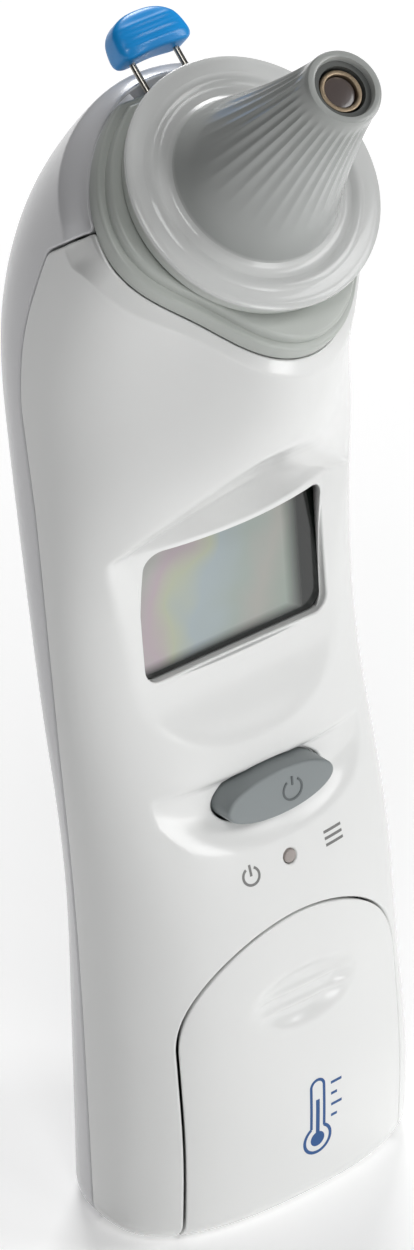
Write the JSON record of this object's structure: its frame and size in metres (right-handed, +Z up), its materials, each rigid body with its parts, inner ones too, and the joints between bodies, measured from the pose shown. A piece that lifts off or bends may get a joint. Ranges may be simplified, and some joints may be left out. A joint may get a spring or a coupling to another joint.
{
  "type": "infrared ear thermometer",
  "caption": "Hand-held infrared ear thermometer: white two-shell handle with display, power button and battery door, angled probe with a push-off cover and thumb ejector.",
  "frame": {"origin": "on the flat base, on the middle plane, between the battery door and the seam of the shells", "axes": "+Z up along the handle, +X to the right seen from the front, the display, the door and the probe face -Y"},
  "size_m": [0.0456, 0.06, 0.1688],
  "materials": {
    "case_white": "gloss white ABS",
    "case_cool_white": "gloss white ABS, slightly cooler",
    "button_grey": "satin mid grey",
    "black_plastic": "matt black",
    "black_rubber": "matt black elastomer",
    "infrared_window": "dark polished window",
    "clear_window": "clear polished",
    "display_glass": "grey-green liquid crystal cell",
    "lens_grey": "warm grey translucent",
    "board_green": "green solder mask",
    "flex_amber": "amber polyimide",
    "steel": "bright steel",
    "gilt": "gilt inside",
    "cover_film": "translucent moulded film",
    "collar_grey": "satin warm grey",
    "ejector_blue": "satin blue"
  },
  "bodies": {
    "case": {"front_shell": "case_white", "display_frame": "case_white", "rear_shell": "case_cool_white", "probe_nozzle": "button_grey", "tact_switch": "black_plastic", "display_connector": "black_rubber", "controller_chip": "black_plastic", "memory_chip": "black_plastic", "buzzer": "black_plastic", "battery_tray": "black_plastic", "sensor_holder": "black_plastic", "probe_window": "infrared_window", "display_window": "clear_window", "display_panel": "display_glass", "indicator_led": "lens_grey", "indicator_lens": "lens_grey", "main_board": "board_green", "sensor_board": "board_green", "sensor_flex": "flex_amber", "coin_cell": "steel", "negative_contact": "steel", "positive_contact": "steel", "thermopile_sensor": "steel", "waveguide_tube": "gilt", "probe_collar": "collar_grey", "board_screw_1": "steel", "board_screw_2": "steel", "board_screw_3": "steel", "board_screw_4": "steel", "case_screw_1": "steel", "case_screw_2": "steel"},
    "button": {"power_button": "button_grey", "switch_plunger": "black_plastic"},
    "ejector": {"ejector_ring": "collar_grey", "ejector_wire_left": "steel", "ejector_wire_right": "steel", "ejector_cap": "ejector_blue"},
    "cover": {"probe_cover": "cover_film"},
    "door": {"battery_door": "case_white"}
  },
  "joints": [
    {"name": "button_press", "type": "slide", "parent": "case", "child": "button", "axis": [0, 1, 0], "range_m": [0, 0.0008], "stiffness_N_per_m": 1500},
    {"name": "ejector_slide", "type": "slide", "parent": "case", "child": "ejector", "axis": [0, -0.7071, 0.7071], "range_m": [0, 0.005], "stiffness_N_per_m": 200},
    {"name": "cover_slide", "type": "slide", "parent": "ejector", "child": "cover", "axis": [0, -0.7071, 0.7071], "range_m": [0, 0.032]},
    {"name": "door_slide", "type": "slide", "parent": "case", "child": "door", "axis": [0, 0, -1], "range_m": [0, 0.046]}
  ]
}
